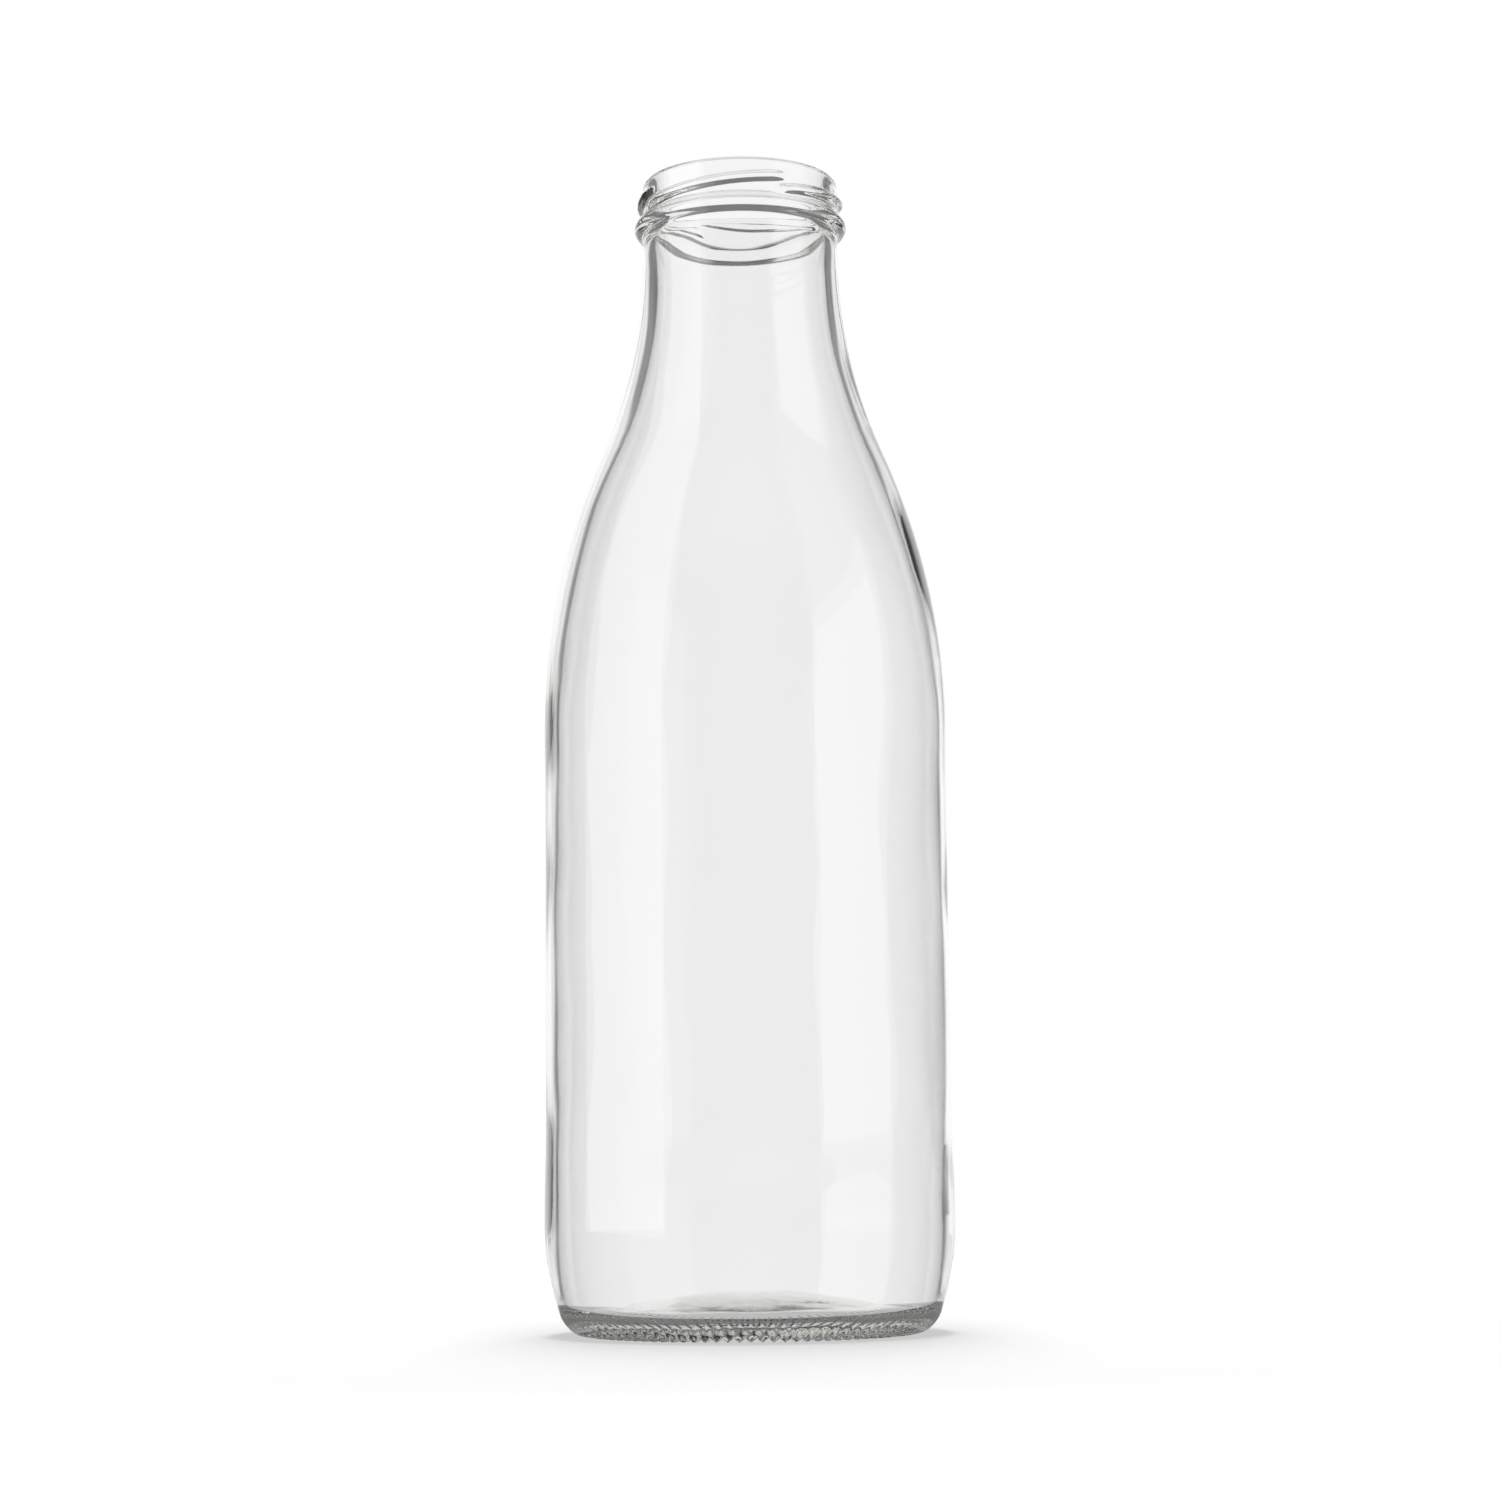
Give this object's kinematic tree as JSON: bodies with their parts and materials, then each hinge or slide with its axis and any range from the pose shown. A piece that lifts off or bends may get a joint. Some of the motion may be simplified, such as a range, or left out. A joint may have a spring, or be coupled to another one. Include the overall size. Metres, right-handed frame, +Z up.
{
  "type": "glass milk bottle",
  "caption": "Tall clear glass bottle with a straight round body, sloping shoulder, long tapering neck and a wide threaded lug mouth.",
  "frame": {"origin": "centre of the base, on the surface that the bottle stands on", "axes": "+Z up along the bottle's axis to the mouth; -Y is the front"},
  "size_m": [0.0894, 0.0894, 0.257],
  "materials": {
    "glass": "fire-polished clear soda-lime glass"
  },
  "bodies": {
    "root": {"glass_bottle": "glass"}
  },
  "joints": []
}
